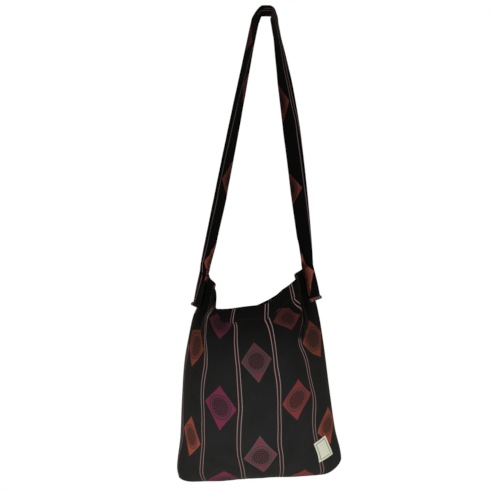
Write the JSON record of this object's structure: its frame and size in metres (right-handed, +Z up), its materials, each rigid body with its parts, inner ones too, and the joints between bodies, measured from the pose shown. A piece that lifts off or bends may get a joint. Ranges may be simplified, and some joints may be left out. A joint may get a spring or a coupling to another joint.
{
  "type": "book bag",
  "caption": "Soft cotton shoulder book bag with one long strap, a turned hem at the mouth and a small cream label, hanging by its strap.",
  "frame": {"origin": "middle of the strap's underside at the top of its loop, where the bag hangs", "axes": "+Z up as the bag hangs, +X to the right seen from the front, +Y from the front of the bag to its back"},
  "size_m": [0.3281, 0.1475, 0.9563],
  "materials": {
    "panel_cloth": "dark woven cotton, matte",
    "strap_cloth": "dark woven cotton, matte",
    "label_cloth": "cream woven tape, matte"
  },
  "bodies": {
    "root": {"front_panel": "panel_cloth", "back_panel": "panel_cloth", "strap": "strap_cloth", "label": "label_cloth"}
  },
  "joints": []
}
